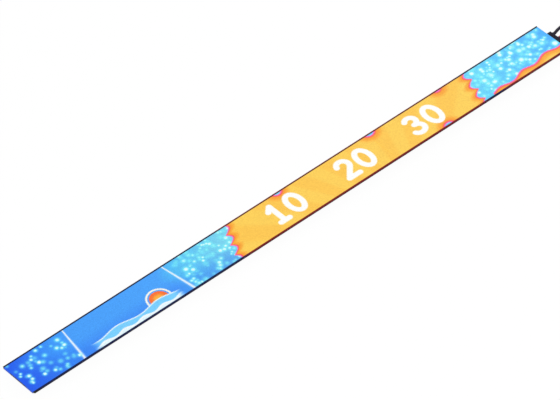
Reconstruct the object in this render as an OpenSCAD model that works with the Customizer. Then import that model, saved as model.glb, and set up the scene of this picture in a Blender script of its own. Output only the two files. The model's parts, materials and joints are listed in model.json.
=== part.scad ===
// LED shelf edge display, lying on its back with the lit face up.
// X runs along the display, Y across it and Z out of the face. Z is zero at the back.

/* [Display] */
// Length of the lit face
display_length = 900; // [870:10:1500]
// Width of the face, with both lips
display_width = 60; // [58:1:72]
// Depth from the back to the face
display_depth = 14; // [13.5:0.5:18]
// Inset of the ends for each millimetre below the face
end_slope_share = 0.7; // [0.6:0.05:0.8]

/* [Housing] */
// Thickness of the lip on each long side
lip_thick = 1.2; // [1:0.1:1.8]
// Height of the upright side below the face
side_height = 3.5; // [3:0.1:4.5]
// Inset of the 45 degree flank below the upright side
flank_inset = 8.5; // [8:0.1:9]
// Thickness of the flank
flank_thick = 1.6; // [1.4:0.1:1.9]
// Thickness of the back
back_thick = 1.6; // [1.4:0.1:2]
// Width of the ledge that a module rests on
ledge_width = 2.3; // [2:0.1:2.8]
// Thickness of an end cap, along the display
cap_thick = 6.5; // [6.5:0.1:7.5]

/* [Mounting] */
// Distance between the fixing holes along the display
fixing_spacing_long = 800; // [600:10:820]
// Distance between the fixing holes across the display
fixing_spacing_wide = 32; // [31:0.5:33]
// Radius of an M4 tapped hole's wall
fixing_radius = 1.65; // [1.2:0.05:1.8]
// Depth of a fixing hole
fixing_depth = 5.5; // [4:0.1:5.8]

/* [Modules] */
// Gap between two modules
module_seam = 0.2; // [0.1:0.1:0.6]
// Gap between a module and the lip
module_gap = 0.15; // [0.1:0.05:0.4]
// Thickness of the clear resin over the pixels
resin_thick = 0.9; // [0.6:0.1:1.2]
// Thickness of the resin that wraps the ends of a board
skirt_thick = 0.5; // [0.3:0.1:1]
// Height of the pixels on their board
pixel_height = 0.7; // [0.5:0.1:0.9]
// Thickness of a pixel board
board_thick = 1.2; // [1:0.1:1.4]
// Width of the tab at each end of a pixel board
tab_width = 29; // [20:1:40]
// Depth of the moulded frame behind a pixel board
frame_depth = 3.2; // [3:0.1:3.4]
// Width of the rail on each side of the frame
frame_rail = 11.6; // [11.2:0.1:12]
// Width of a rib across the frame
frame_rib = 4; // [2:0.5:6]
// Number of windows in a frame
window_count = 5; // [3:2:5]

/* [Magnets] */
// Radius of a magnet
magnet_radius = 4; // [3:0.25:4.25]
// Height of a magnet
magnet_height = 2.8; // [2:0.1:2.9]
// How far a magnet stands out of its frame
magnet_proud = 0.2; // [0.1:0.1:0.3]
// Distance of the magnets from the middle of their module
magnet_reach = 104; // [60:1:110]
// Width of a steel keeper strip
keeper_width = 5; // [4:0.1:5.2]
// Thickness of a keeper strip
keeper_thick = 1; // [0.6:0.1:1.2]
// Distance of a keeper strip from the middle line
keeper_offset = 19; // [18.8:0.1:19.3]

/* [Hub boards] */
// Width of a hub board
hub_width = 24.4; // [24:0.1:25]
// Thickness of a hub board
hub_thick = 1.2; // [1:0.1:1.4]
// Height of the two seats under a hub board
seat_height = 1.5; // [1.4:0.1:1.8]
// Height of the socket that a module plugs into
hub_socket_height = 3.8; // [3.5:0.1:4]
// Length of that socket
hub_socket_length = 40; // [30:1:44]
// Pins in each of its two rows
pin_count = 8; // [4:1:10]

/* [End sockets] */
// Width of an end socket's body
socket_width = 24; // [23:0.1:24.2]
// Height of an end socket
socket_height = 5.8; // [5.7:0.1:6]
// Length of an end socket, along the display
socket_length = 9; // [8:0.1:10]
// Wall of an end socket
socket_wall = 1; // [0.8:0.1:1.2]
// Width of its flange
flange_width = 30; // [29.8:0.1:31]
// Thickness of its flange
flange_thick = 2.2; // [1.8:0.1:2.4]

/* [Supply plug] */
// Width of the plug's body
plug_width = 24; // [20:0.5:26]
// Height of the plug's body
plug_height = 9.4; // [8:0.1:9.8]
// Length of the plug's body
plug_length = 7; // [6:0.1:7]
// Distance of the plug's top below the face
plug_drop = 2; // [1.6:0.1:2.4]
// Distance between the two wires at the plug
wire_spread = 10.8; // [9:0.2:12]
// Height of the wires above the back, at the plug
wire_z = 9.2; // [7:0.1:9.2]
// Diameter of a supply wire
wire_diameter = 4.4; // [3.2:0.1:4.4]

/* [Coil] */
// Radius of the innermost turn
coil_inner = 12.9; // [12.9:0.1:14]
// Distance between neighbouring turns, and between the two layers
turn_step = 4.9; // [4.9:0.1:5.2]

/* [Hidden] */
$fn = 48;
overrun = 1;
fit_gap = 0.1;
slide_gap = 0.3;
part_names = ["left", "centre", "right"];

// Heights of the stack, from the face down
face_z = display_depth;
resin_base_z = face_z - resin_thick;
board_top_z = resin_base_z - pixel_height;
board_base_z = board_top_z - board_thick;
frame_base_z = board_base_z - frame_depth;
magnet_base_z = frame_base_z - magnet_proud;
keeper_base_z = magnet_base_z - keeper_thick;
keeper_groove_depth = 0.4;
rail_top_z = keeper_base_z + keeper_groove_depth;

// Heights of the stack, from the back up
hub_base_z = back_thick + seat_height;
hub_top_z = hub_base_z + hub_thick;
hub_socket_top_z = hub_top_z + hub_socket_height;
header_gap = 0.3;
header_base_z = hub_socket_top_z + header_gap;

// Places across the display
half_width = display_width / 2;
lip_y = half_width - lip_thick;
ledge_y = lip_y - ledge_width;
side_base_z = face_z - side_height;
back_y = half_width - flank_inset;
flank_base_z = side_base_z - flank_inset;
back_round = 1.2;
lip_round = 0.3;
side_round = 0.5;
// The inner face of the flank is the line y - z = flank_line
flank_line = half_width - side_base_z - flank_thick * sqrt(2);
rail_y = hub_width / 2 + fit_gap + slide_gap;
seat_y = 9.5;
seat_width = 3;
port_y = 20.6;
port_z = 4.4;
port_radius = 1.25;

// Places along the display
half_length = display_length / 2;
module_pitch = display_length / len(part_names);
module_half = module_pitch / 2 - module_seam / 2;
module_width = display_width - 2 * (lip_thick + module_gap);

// Where the sloping end meets a height
function end_x(z, inset = 0) = half_length - end_slope_share * (face_z - z) - inset;
function module_end_x(z) = module_half - end_slope_share * (face_z - z);
function module_x(i) = (i - (len(part_names) - 1) / 2) * module_pitch;

// Rounds the corners of an outline. Each corner is [y, z, radius].
round_steps = 4;
function unit(v) = v / norm(v);
function rounded_corner(before, at, after) =
    let (
        corner = [at[0], at[1]],
        to_before = unit([before[0], before[1]] - corner),
        to_after = unit([after[0], after[1]] - corner),
        half_angle = acos(to_before * to_after) / 2,
        middle = corner + unit(to_before + to_after) * at[2] / sin(half_angle),
        from = corner + to_before * at[2] / tan(half_angle) - middle,
        to = corner + to_after * at[2] / tan(half_angle) - middle
    )
    at[2] == 0 ? [corner]
    : [for (i = [0:round_steps])
        middle + unit(from * (1 - i / round_steps) + to * i / round_steps) * at[2]];
function rounded_outline(corners) =
    let (n = len(corners))
    [for (i = [0:n - 1])
        each rounded_corner(corners[(i + n - 1) % n], corners[i], corners[(i + 1) % n])];
function mirrored(half) =
    concat(half, [for (i = [len(half) - 1:-1:0])
        [for (k = [0:len(half[i]) - 1]) k == 0 ? -half[i][k] : half[i][k]]]);

module slab(low, high) {
    translate(low)
        cube(high - low);
}

// A section in Y and Z, drawn along X from a to b
module along_x(a, b) {
    translate([a, 0, 0])
        rotate([90, 0, 90])
            linear_extrude(b - a)
                children();
}

// A section in X and Z, drawn across the display
module across_y(half) {
    translate([0, half, 0])
        rotate([90, 0, 0])
            linear_extrude(2 * half)
                children();
}

module both_sides() {
    children();
    mirror([0, 1, 0])
        children();
}

module x_bore(x, y, z, r, length) {
    translate([x, y, z])
        rotate([0, 90, 0])
            cylinder(r = r, h = length);
}

// The wedge between the two sloping ends, drawn in by an inset
module between_ends(inset) {
    low = -overrun;
    high = face_z + overrun;
    across_y(half_width + overrun)
        polygon([
            [-end_x(low, inset), low], [end_x(low, inset), low],
            [end_x(high, inset), high], [-end_x(high, inset), high]
        ]);
}

// Outer outline of the housing, from the face down the +Y side
function housing_side() = [
    [half_width, face_z, lip_round],
    [half_width, side_base_z, side_round],
    [back_y, flank_base_z, side_round],
    [back_y, 0, back_round]
];

module housing_outline() {
    polygon(rounded_outline(mirrored(housing_side())));
}

// The space that the modules, hub boards and keepers take out of the channel
module channel_space() {
    polygon(rounded_outline(mirrored([
        [lip_y, face_z + overrun, 0],
        [lip_y, board_base_z, 0],
        [ledge_y, board_base_z, lip_round],
        [ledge_y, ledge_y - flank_line, side_round],
        [rail_top_z + flank_line, rail_top_z, 0],
        [rail_y, rail_top_z, lip_round],
        [rail_y, back_thick, side_round],
        [seat_y + seat_width / 2, back_thick, lip_round],
        [seat_y + seat_width / 2, hub_base_z, 0],
        [seat_y - seat_width / 2, hub_base_z, 0],
        [seat_y - seat_width / 2, back_thick, lip_round]
    ])));
    for (side = [0, 1])
        mirror([side, 0])
            translate([keeper_offset - keeper_width / 2 - fit_gap, keeper_base_z])
                square([keeper_width + 2 * fit_gap, keeper_groove_depth + overrun]);
}

// Housing
module housing_channel() {
    color("#1c1d20")
        difference() {
            intersection() {
                along_x(-half_length, half_length)
                    difference() {
                        housing_outline();
                        channel_space();
                    }
                between_ends(cap_thick);
            }
            both_sides() {
                x_bore(-half_length, port_y, port_z, port_radius, display_length);
                for (side = [-1, 1])
                    translate([side * fixing_spacing_long / 2, fixing_spacing_wide / 2, -overrun])
                        cylinder(r = fixing_radius, h = fixing_depth + overrun);
            }
            hub_screw_places()
                translate([0, 0, hub_base_z - hub_screw_depth - fit_gap])
                    cylinder(r = hub_screw_radius + fit_gap / 2, h = hub_screw_depth + seat_height);
            at_both_ends()
                slab(
                    [socket_back_x - slide_gap, -seat_y - seat_width / 2 - slide_gap, back_thick],
                    [half_length, seat_y + seat_width / 2 + slide_gap, hub_base_z + fit_gap]
                );
        }
}

// Sizes of the end cap's screws and of the socket's screws
cap_screw_radius = 1.2;
cap_screw_length = 11;
cap_screw_head = 2.1;
cap_screw_head_height = 1.5;
cap_seat_x = end_x(port_z - cap_screw_head - fit_gap, cap_screw_head_height);
socket_screw_radius = 0.75;
socket_screw_length = 2.6;
socket_screw_head = 1.3;
socket_screw_head_height = 0.9;
socket_screw_y = (socket_width + flange_width) / 4;
socket_mouth_inset = 7.8;
socket_mouth_x = half_length - socket_mouth_inset;
socket_base_z = back_thick + fit_gap * 2;
socket_top_z = socket_base_z + socket_height;
socket_middle_z = (socket_base_z + socket_top_z) / 2;
socket_back_x = socket_mouth_x - socket_length;
socket_back_wall = 3.2;

module end_cap(side) {
    clear = fit_gap;
    cap_opening_z = magnet_base_z;
    mirror([side < 0 ? 1 : 0, 0, 0])
        difference() {
            intersection() {
                along_x(0, half_length)
                    difference() {
                        housing_outline();
                        polygon(mirrored([
                            [lip_y, face_z + overrun],
                            [lip_y, board_base_z],
                            [ledge_y, board_base_z],
                            [ledge_y, ledge_y - flank_line],
                            [cap_opening_z + flank_line, cap_opening_z]
                        ]));
                    }
                difference() {
                    between_ends(0);
                    between_ends(cap_thick);
                }
            }
            slab(
                [0, -socket_width / 2 - clear, socket_base_z - clear],
                [half_length, socket_width / 2 + clear, socket_top_z + clear]
            );
            slab(
                [socket_mouth_x - flange_thick, -flange_width / 2 - clear, socket_base_z - clear],
                [half_length, flange_width / 2 + clear, socket_top_z + clear]
            );
            both_sides() {
                x_bore(0, port_y, port_z, cap_screw_radius + fit_gap, half_length);
                x_bore(cap_seat_x, port_y, port_z, cap_screw_head + fit_gap, half_length);
                x_bore(0, socket_screw_y, socket_middle_z, socket_screw_radius + fit_gap / 2, half_length);
            }
        }
}

module end_cap_left() {
    color("#202124")
        end_cap(-1);
}

module end_cap_right() {
    color("#202124")
        end_cap(1);
}

// A pan head screw along X, with its seat at x = 0 and a cross recess in its head
module pan_screw(shank, length, head, head_height) {
    recess = head * 0.55;
    recess_width = head * 0.22;
    difference() {
        union() {
            rotate([0, -90, 0])
                cylinder(r = shank, h = length);
            rotate([0, 90, 0])
                cylinder(r = head, h = head_height);
        }
        for (turn = [0, 90])
            rotate([turn, 0, 0])
                slab(
                    [head_height / 2, -recess, -recess_width / 2],
                    [head_height * 2, recess, recess_width / 2]
                );
    }
}

module at_both_ends() {
    for (end = [0, 1])
        mirror([end, 0, 0])
            children();
}

module end_cap_screws() {
    color("#3a3c40")
        at_both_ends()
            both_sides()
                translate([cap_seat_x, port_y, port_z])
                    pan_screw(cap_screw_radius, cap_screw_length, cap_screw_head, cap_screw_head_height);
}

module socket_screws() {
    color("#8d9095")
        at_both_ends()
            both_sides()
                translate([socket_mouth_x, socket_screw_y, socket_middle_z])
                    pan_screw(
                        socket_screw_radius, socket_screw_length + flange_thick,
                        socket_screw_head, socket_screw_head_height
                    );
}

// Modules, each placed by its number from the left
module resin_cover(i) {
    color("#4aa8f0", 0.9)
        translate([module_x(i), 0, 0])
            difference() {
                slab(
                    [-module_half, -module_width / 2, board_base_z],
                    [module_half, module_width / 2, face_z]
                );
                slab(
                    [-module_half + skirt_thick, -module_width / 2 - overrun, board_base_z - overrun],
                    [module_half - skirt_thick, module_width / 2 + overrun, resin_base_z]
                );
                slab(
                    [-module_half - overrun, -tab_width / 2, board_base_z - overrun],
                    [module_half + overrun, tab_width / 2, board_top_z]
                );
            }
}

module pixel_layer(i) {
    color("#2f6fd8")
        translate([module_x(i), 0, 0])
            slab(
                [-module_half + skirt_thick, -module_width / 2, board_top_z],
                [module_half - skirt_thick, module_width / 2, resin_base_z]
            );
}

module pixel_board(i) {
    color("#15171a")
        translate([module_x(i), 0, 0]) {
            slab(
                [-module_half + skirt_thick, -module_width / 2, board_base_z],
                [module_half - skirt_thick, module_width / 2, board_top_z]
            );
            slab(
                [-module_half, -tab_width / 2, board_base_z],
                [module_half, tab_width / 2, board_top_z]
            );
        }
}

window_length =
    (2 * module_end_x(frame_base_z) - 2 * frame_rail - (window_count - 1) * frame_rib) / window_count;
function window_x(w) = (w - (window_count - 1) / 2) * (window_length + frame_rib);

module module_frame(i) {
    half_rail_in = ledge_y - slide_gap - frame_rail;
    flank_clear = flank_line - slide_gap * sqrt(2);
    top_y = ledge_y - slide_gap;
    window_round = 1.5;
    color("#26282c")
        translate([module_x(i), 0, 0])
            difference() {
                intersection() {
                    along_x(-module_half, module_half)
                        polygon(mirrored([
                            [top_y, board_base_z],
                            [top_y, top_y - flank_clear],
                            [frame_base_z + flank_clear, frame_base_z]
                        ]));
                    across_y(half_width)
                        polygon([
                            [-module_end_x(frame_base_z), frame_base_z],
                            [module_end_x(frame_base_z), frame_base_z],
                            [module_end_x(board_base_z), board_base_z],
                            [-module_end_x(board_base_z), board_base_z]
                        ]);
                }
                for (w = [0:window_count - 1])
                    translate([window_x(w), 0, frame_base_z - overrun])
                        linear_extrude(frame_depth + 2 * overrun)
                            polygon(rounded_outline(mirrored([
                                [window_length / 2, half_rail_in, window_round],
                                [window_length / 2, -half_rail_in, window_round]
                            ])));
                both_sides()
                    for (side = [-1, 1])
                        translate([side * magnet_reach, keeper_offset, frame_base_z - overrun])
                            cylinder(
                                r = magnet_radius + fit_gap,
                                h = magnet_height - magnet_proud + fit_gap + overrun
                            );
            }
}

chip_side = 4;
chip_height = 0.9;
chip_y = 9.5;
module driver_chips(i) {
    color("#1a1a1c")
        translate([module_x(i), 0, 0])
            for (w = [0:window_count - 1], part = [-1, 1], row = [-1, 1])
                translate([
                    window_x(w) + part * window_length / 4, row * chip_y, board_base_z - chip_height / 2
                ])
                    cube([chip_side, chip_side, chip_height], center = true);
}

header_width = 7;
pin_side = 0.64;
pin_row_y = 1.6;
pin_clear = 0.08;
function pin_x(p) = (p - (pin_count - 1) / 2) * (hub_socket_length / (pin_count + 1));

module pins(i, side, low, high) {
    translate([module_x(i), 0, 0])
        both_sides()
            for (p = [0:pin_count - 1])
                slab(
                    [pin_x(p) - side / 2, pin_row_y - side / 2, low],
                    [pin_x(p) + side / 2, pin_row_y + side / 2, high]
                );
}

module module_header(i) {
    color("#e8e2d0")
        difference() {
            translate([module_x(i), 0, 0])
                slab(
                    [-hub_socket_length / 2, -header_width / 2, header_base_z],
                    [hub_socket_length / 2, header_width / 2, board_base_z]
                );
            pins(i, pin_side + 2 * pin_clear, header_base_z - overrun, board_base_z - pin_side);
        }
}

pin_reach = 2.6;
module header_pins(i) {
    color("#c9a24a")
        pins(i, pin_side, hub_socket_top_z - pin_reach, board_base_z - pin_side - pin_clear);
}

module module_magnets() {
    color("#b9bcc0")
        for (i = [0:len(part_names) - 1])
            translate([module_x(i), 0, magnet_base_z])
                both_sides()
                    for (side = [-1, 1])
                        translate([side * magnet_reach, keeper_offset, 0])
                            cylinder(r = magnet_radius, h = magnet_height);
}

keeper_end_gap = 2;
module keeper_strip() {
    reach = end_x(keeper_base_z, cap_thick) - keeper_end_gap;
    color("#a9adb2")
        slab(
            [-reach, keeper_offset - keeper_width / 2, keeper_base_z],
            [reach, keeper_offset + keeper_width / 2, magnet_base_z]
        );
}

module keeper_strip_upper() {
    keeper_strip();
}

module keeper_strip_lower() {
    mirror([0, 1, 0])
        keeper_strip();
}

// Hub boards in the back, which the modules plug into
hub_end_gap = 0.7;
hub_half = socket_back_x - (len(part_names) - 1) / 2 * module_pitch - hub_end_gap;
hub_screw_radius = 1;
hub_screw_depth = 2.3;
hub_screw_head = 1.9;
hub_screw_head_height = 1.3;
hub_screw_inset = 8;

module hub_screw_places() {
    for (i = [0:len(part_names) - 1], end = [-1, 1], row = [-1, 1])
        translate([module_x(i) + end * (hub_half - hub_screw_inset), row * seat_y, 0])
            children();
}

module hub_board(i) {
    color("#1e5c3a")
        difference() {
            translate([module_x(i), 0, 0])
                slab(
                    [-hub_half, -hub_width / 2, hub_base_z],
                    [hub_half, hub_width / 2, hub_top_z]
                );
            hub_screw_places()
                translate([0, 0, hub_base_z - overrun])
                    cylinder(r = hub_screw_radius + fit_gap, h = hub_thick + 2 * overrun);
        }
}

module hub_screws() {
    color("#9a9da1")
        hub_screw_places()
            translate([0, 0, hub_top_z])
                rotate([0, -90, 0])
                    pan_screw(
                        hub_screw_radius, hub_screw_depth + hub_thick,
                        hub_screw_head, hub_screw_head_height
                    );
}

module hub_socket(i) {
    color("#1d1f22")
        difference() {
            translate([module_x(i), 0, 0])
                slab(
                    [-hub_socket_length / 2, -header_width / 2, hub_top_z],
                    [hub_socket_length / 2, header_width / 2, hub_socket_top_z]
                );
            pins(
                i, pin_side + 2 * pin_clear,
                hub_socket_top_z - pin_reach - pin_clear, hub_socket_top_z + overrun
            );
        }
}

// Flat connectors that carry power and data from one hub board to the next
link_reach = 8;
link_width = 14;
link_height = 2.4;
module board_link(side) {
    start = module_pitch / 2 - (module_pitch / 2 - hub_half) - link_reach;
    color("#e6e1d2")
        translate([(side < 0 ? module_x(0) : module_x(1)) + start, 0, 0])
            difference() {
                slab(
                    [0, -link_width / 2, hub_top_z],
                    [module_pitch - 2 * hub_half + 2 * link_reach, link_width / 2, hub_top_z + link_height]
                );
                slab(
                    [link_reach, -link_width / 4, hub_top_z + link_height / 2],
                    [
                        module_pitch - 2 * hub_half + link_reach, link_width / 4,
                        hub_top_z + link_height + overrun
                    ]
                );
            }
}

module board_link_left() {
    board_link(-1);
}

module board_link_right() {
    board_link(1);
}

// Parts on the right hub board, set out from its left end
link_end_x = hub_half - link_reach;
wireless_length = 18;
wireless_width = 12;
wireless_height = 2.2;
wireless_round = 1;
wireless_gap = 15.5;
wireless_offset = -link_end_x + wireless_gap + wireless_length / 2;
controller_side = 14;
controller_height = 1.4;
controller_gap = 14;
controller_offset = wireless_offset + wireless_length / 2 + controller_gap + controller_side / 2;
module controller_chip() {
    color("#18181a")
        translate([module_x(2) + controller_offset, 0, hub_top_z + controller_height / 2])
            cube([controller_side, controller_side, controller_height], center = true);
}

module wireless_module() {
    color("#c3c6c9")
        translate([module_x(2) + wireless_offset, 0, hub_top_z])
            linear_extrude(wireless_height)
                polygon(rounded_outline(mirrored([
                    [wireless_length / 2, wireless_width / 2, wireless_round],
                    [wireless_length / 2, -wireless_width / 2, wireless_round]
                ])));
}

// Parts on each hub board, set out from its right end
capacitor_radius = 3;
capacitor_height = 3.2;
capacitor_gap = 35.5;
capacitor_step = 8;
capacitor_offset = link_end_x - capacitor_gap - capacitor_radius - capacitor_step;
regulator_length = 9;
regulator_width = 8;
regulator_height = 3;
regulator_gap = 10.5;
regulator_offset = capacitor_offset - capacitor_radius - regulator_gap - regulator_length / 2;
module voltage_regulators() {
    color("#2c2d30")
        for (i = [0:len(part_names) - 1])
            translate([module_x(i) + regulator_offset, 0, hub_top_z + regulator_height / 2])
                cube([regulator_length, regulator_width, regulator_height], center = true);
}

module capacitors() {
    color("#b7b9bc")
        for (i = [0:len(part_names) - 1], n = [0, 1])
            translate([module_x(i) + capacitor_offset + n * capacitor_step, 0, hub_top_z])
                cylinder(r = capacitor_radius, h = capacitor_height);
}

// End sockets, with two power blades and a row of data pins
blade_width = 3.4;
blade_thick = 0.8;
blade_y = 6.5;
data_side = 0.6;
data_step = 1.8;
data_count = 4;
contact_foot = 5.5;
contact_reach = 4.6;
contact_top_z = hub_top_z + blade_thick;
cavity_back_x = socket_back_x + socket_back_wall;

module contact_bars(grow) {
    back = socket_back_x - contact_foot;
    front = cavity_back_x + contact_reach;
    both_sides()
        slab(
            [back - grow, blade_y - blade_width / 2 - grow, hub_top_z],
            [front, blade_y + blade_width / 2 + grow, contact_top_z + grow]
        );
    for (n = [0:data_count - 1])
        translate([0, (n - (data_count - 1) / 2) * data_step, 0])
            slab(
                [back - grow, -data_side / 2 - grow, hub_top_z],
                [front, data_side / 2 + grow, hub_top_z + data_side + grow]
            );
}

module end_socket() {
    slit = 0.05;
    difference() {
        union() {
            slab(
                [socket_back_x, -socket_width / 2, socket_base_z],
                [socket_mouth_x, socket_width / 2, socket_top_z]
            );
            slab(
                [socket_mouth_x - flange_thick, -flange_width / 2, socket_base_z],
                [socket_mouth_x, flange_width / 2, socket_top_z]
            );
        }
        slab(
            [cavity_back_x, -socket_width / 2 + socket_wall, socket_base_z + socket_wall],
            [socket_mouth_x + overrun, socket_width / 2 - socket_wall, socket_top_z - socket_wall]
        );
        contact_bars(slit);
        both_sides()
            x_bore(0, socket_screw_y, socket_middle_z, socket_screw_radius + fit_gap / 2, half_length);
    }
}

module inlet_socket() {
    color("#17181a")
        end_socket();
}

module chain_socket() {
    color("#17181a")
        mirror([1, 0, 0])
            end_socket();
}

module inlet_contacts() {
    color("#c9a24a")
        contact_bars(0);
}

module chain_contacts() {
    color("#c9a24a")
        mirror([1, 0, 0])
            contact_bars(0);
}

// Supply plug, with a nose that fills the inlet socket
wire_radius = wire_diameter / 2;
plug_gap = 0.6;
plug_back_x = half_length + plug_gap;
plug_end_x = plug_back_x + plug_length;
plug_top_z = face_z - plug_drop;
plug_base_z = plug_top_z - plug_height;
plug_round = 1.2;
nose_y = socket_width / 2 - socket_wall - slide_gap;
nose_base_z = socket_base_z + socket_wall + slide_gap;
nose_top_z = socket_top_z - socket_wall - slide_gap;
nose_start_x = cavity_back_x + slide_gap;
contact_wall = 0.35;
contact_length = 5;
boss_wall = 0.5;
boss_radius = wire_radius + boss_wall;
boss_length = 1.4;
wire_shift = 1.4;
black_y = wire_shift + wire_spread / 2;
red_y = wire_shift - wire_spread / 2;
grip_count = 3;
grip_width = 0.8;
grip_depth = 0.4;
wire_start_x = plug_end_x + boss_length;

module plug_body() {
    along_x(plug_back_x, plug_end_x)
        polygon(rounded_outline([
            [-plug_width / 2, plug_base_z, plug_round], [plug_width / 2, plug_base_z, plug_round],
            [plug_width / 2, plug_top_z, plug_round], [-plug_width / 2, plug_top_z, plug_round]
        ]));
}

module supply_plug() {
    color("#1b1b1d")
        difference() {
            union() {
                plug_body();
                slab([nose_start_x, -nose_y, nose_base_z], [plug_back_x, nose_y, nose_top_z]);
                for (wire_y = [black_y, red_y])
                    x_bore(plug_end_x, wire_y, wire_z, boss_radius, boss_length);
            }
            for (n = [1:grip_count])
                translate([plug_back_x + n * plug_length / (grip_count + 1), 0, plug_top_z])
                    cube([grip_width, plug_width * 0.7, 2 * grip_depth], center = true);
            plug_slots();
        }
}

// Room in the nose for the contact tubes and the data pins
module plug_slots() {
    reach = nose_start_x + contact_length + fit_gap;
    both_sides()
        slab(
            [
                nose_start_x - overrun, blade_y - blade_width / 2 - contact_wall - fit_gap * 2,
                hub_top_z - contact_wall - fit_gap * 2
            ],
            [
                reach, blade_y + blade_width / 2 + contact_wall + fit_gap * 2,
                contact_top_z + contact_wall + fit_gap * 2
            ]
        );
    slab(
        [nose_start_x - overrun, -data_count * data_step / 2, hub_top_z - fit_gap],
        [reach, data_count * data_step / 2, contact_top_z]
    );
}

module plug_contacts() {
    color("#c9a24a")
        both_sides()
            difference() {
                slab(
                    [
                        nose_start_x, blade_y - blade_width / 2 - contact_wall - fit_gap,
                        hub_top_z - contact_wall - fit_gap
                    ],
                    [
                        nose_start_x + contact_length,
                        blade_y + blade_width / 2 + contact_wall + fit_gap,
                        contact_top_z + contact_wall + fit_gap
                    ]
                );
                slab(
                    [nose_start_x - overrun, blade_y - blade_width / 2 - fit_gap, hub_top_z - fit_gap],
                    [
                        cavity_back_x + contact_reach + fit_gap,
                        blade_y + blade_width / 2 + fit_gap,
                        contact_top_z + fit_gap
                    ]
                );
            }
}

// Wires: a tube swept along points, with its ends square to the first and last run
tie_thick = 0.35;
tie_slack = 0.05;
free_sides = 8;
coil_sides = 6;
function run_at(p, i) = unit(p[min(i + 1, len(p) - 1)] - p[max(i - 1, 0)]);
function ring_at(p, i, r, sides) =
    let (
        ahead = run_at(p, i),
        across = unit(cross([0, 0, 1], ahead)),
        up = cross(ahead, across)
    )
    [for (s = [0:sides - 1])
        p[i] + r * (cos(360 * (s + 0.5) / sides) * across + sin(360 * (s + 0.5) / sides) * up)];

module tube(p, r, sides) {
    n = len(p);
    polyhedron(
        points = [for (i = [0:n - 1]) each ring_at(p, i, r, sides)],
        faces = concat(
            [for (s = [1:sides - 2]) [0, s, s + 1]],
            [for (s = [1:sides - 2]) [(n - 1) * sides, (n - 1) * sides + s + 1, (n - 1) * sides + s]],
            [for (i = [0:n - 2], s = [0:sides - 1])
                let (a = i * sides + s, b = i * sides + (s + 1) % sides)
                each [[a, a + sides, b], [b, a + sides, b + sides]]]
        )
    );
}

// Coil: the pair winds in on the upper layer, each wire drops a layer where it turns back, and
// the pair winds out on the lower layer. The black wire turns back half a turn after the red.
// The cord's places along X are measured from where the wires leave the plug.
coil_distance = 54;
coil_x = wire_start_x + coil_distance;
coil_y = -24;
coil_base_z = wire_radius + tie_thick + tie_slack;
coil_end = 3.5 * 360;
red_turn = 1.5 * 360;
black_turn = 2 * 360;
rings_a_turn = 24;
turn_softness = 18;
function coil_radius(a, turn) =
    coil_inner + 2 * turn_step * (sqrt(pow(a - turn, 2) + pow(turn_softness, 2)) - turn_softness) / 360;
function drop_share(a, turn) =
    (1 - cos(180 * min(1, max(0, (a - turn + 90) / 180)))) / 2;
function coil_point(a, turn) = [
    coil_x + coil_radius(a, turn) * sin(a),
    coil_y + coil_radius(a, turn) * cos(a),
    coil_base_z + turn_step * (1 - drop_share(a, turn))
];
function coil_points(turn, steps = rings_a_turn) =
    [for (i = [0:coil_end / 360 * steps]) coil_point(i * 360 / steps, turn)];

// Routes of the free stretches, from the plug to the coil and from the coil to the terminals.
// Each meets the coil in line with the coil's own first or last run.
lead = 3;
function lead_in(turn) =
    let (at = coil_point(0, turn), next = coil_point(360 / rings_a_turn, turn))
    [at - lead * unit(next - at), at];
function lead_out(turn) =
    let (at = coil_point(coil_end, turn), last = coil_point(coil_end - 360 / rings_a_turn, turn))
    [at, at + lead * unit(at - last)];
function from_plug(points) = [for (p = points) [wire_start_x, 0, 0] + p];
route_black = concat(
    from_plug([
        [0, black_y, wire_z], [2, black_y, wire_z + 0.3], [6, 7.2, 10.9], [12, 8, 11.6],
        [19, 8.7, 11.2], [26, 9.1, 10.1], [33, 9.2, 8.9], [40, 9.1, 8], [46, 8.8, 7.5]
    ]),
    lead_in(black_turn)
);
route_red = concat(
    from_plug([
        [0, red_y, wire_z], [2, red_y, wire_z + 0.3], [6, -3.5, 10.6], [12, -2.3, 11.1],
        [19, -0.3, 10.6], [26, 1.8, 9.6], [33, 3.3, 8.6], [40, 4, 7.8], [46, 3.9, 7.5]
    ]),
    lead_in(red_turn)
);
tail_route_black = concat(
    lead_out(black_turn),
    from_plug([[44, -51.6, 2.6], [38, -50.6, 2.7], [31, -48.6, 2.8]])
);
tail_route_red = concat(
    lead_out(red_turn),
    from_plug([[44, -56.9, 2.6], [38, -56.9, 2.7], [31, -56.4, 2.8]])
);

// The least gap between the turns, measured on points and printed
gap_steps = 48;
gap_red = coil_points(red_turn, gap_steps);
gap_black = coil_points(black_turn, gap_steps);
function least_self(p) =
    min([for (i = [0:len(p) - 1], j = [i + gap_steps / 4:1:len(p) - 1]) norm(p[i] - p[j])]);
function least_between(p, q) = min([for (a = p, b = q) norm(a - b)]);
echo(
    coil_gap =
        min(least_self(gap_red), least_self(gap_black), least_between(gap_red, gap_black)) - wire_diameter
);
function path_length(p) =
    len(p) < 2 ? 0 : [for (i = [1:len(p) - 1]) norm(p[i] - p[i - 1])] * [for (i = [1:len(p) - 1]) 1];
echo(wire_lengths = [
    path_length(route_black) + path_length(gap_black) + path_length(tail_route_black),
    path_length(route_red) + path_length(gap_red) + path_length(tail_route_red)
]);

black_jacket = "#1d1d20";
red_jacket = "#b3282d";

module wire_black() {
    color(black_jacket)
        tube(route_black, wire_radius, free_sides);
}

module wire_red() {
    color(red_jacket)
        tube(route_red, wire_radius, free_sides);
}

module tail_black() {
    color(black_jacket)
        tube(tail_route_black, wire_radius, free_sides);
}

module tail_red() {
    color(red_jacket)
        tube(tail_route_red, wire_radius, free_sides);
}

module coil_black() {
    color(black_jacket)
        tube(coil_points(black_turn), wire_radius, coil_sides);
}

module coil_red() {
    color(red_jacket)
        tube(coil_points(red_turn), wire_radius, coil_sides);
}

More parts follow.
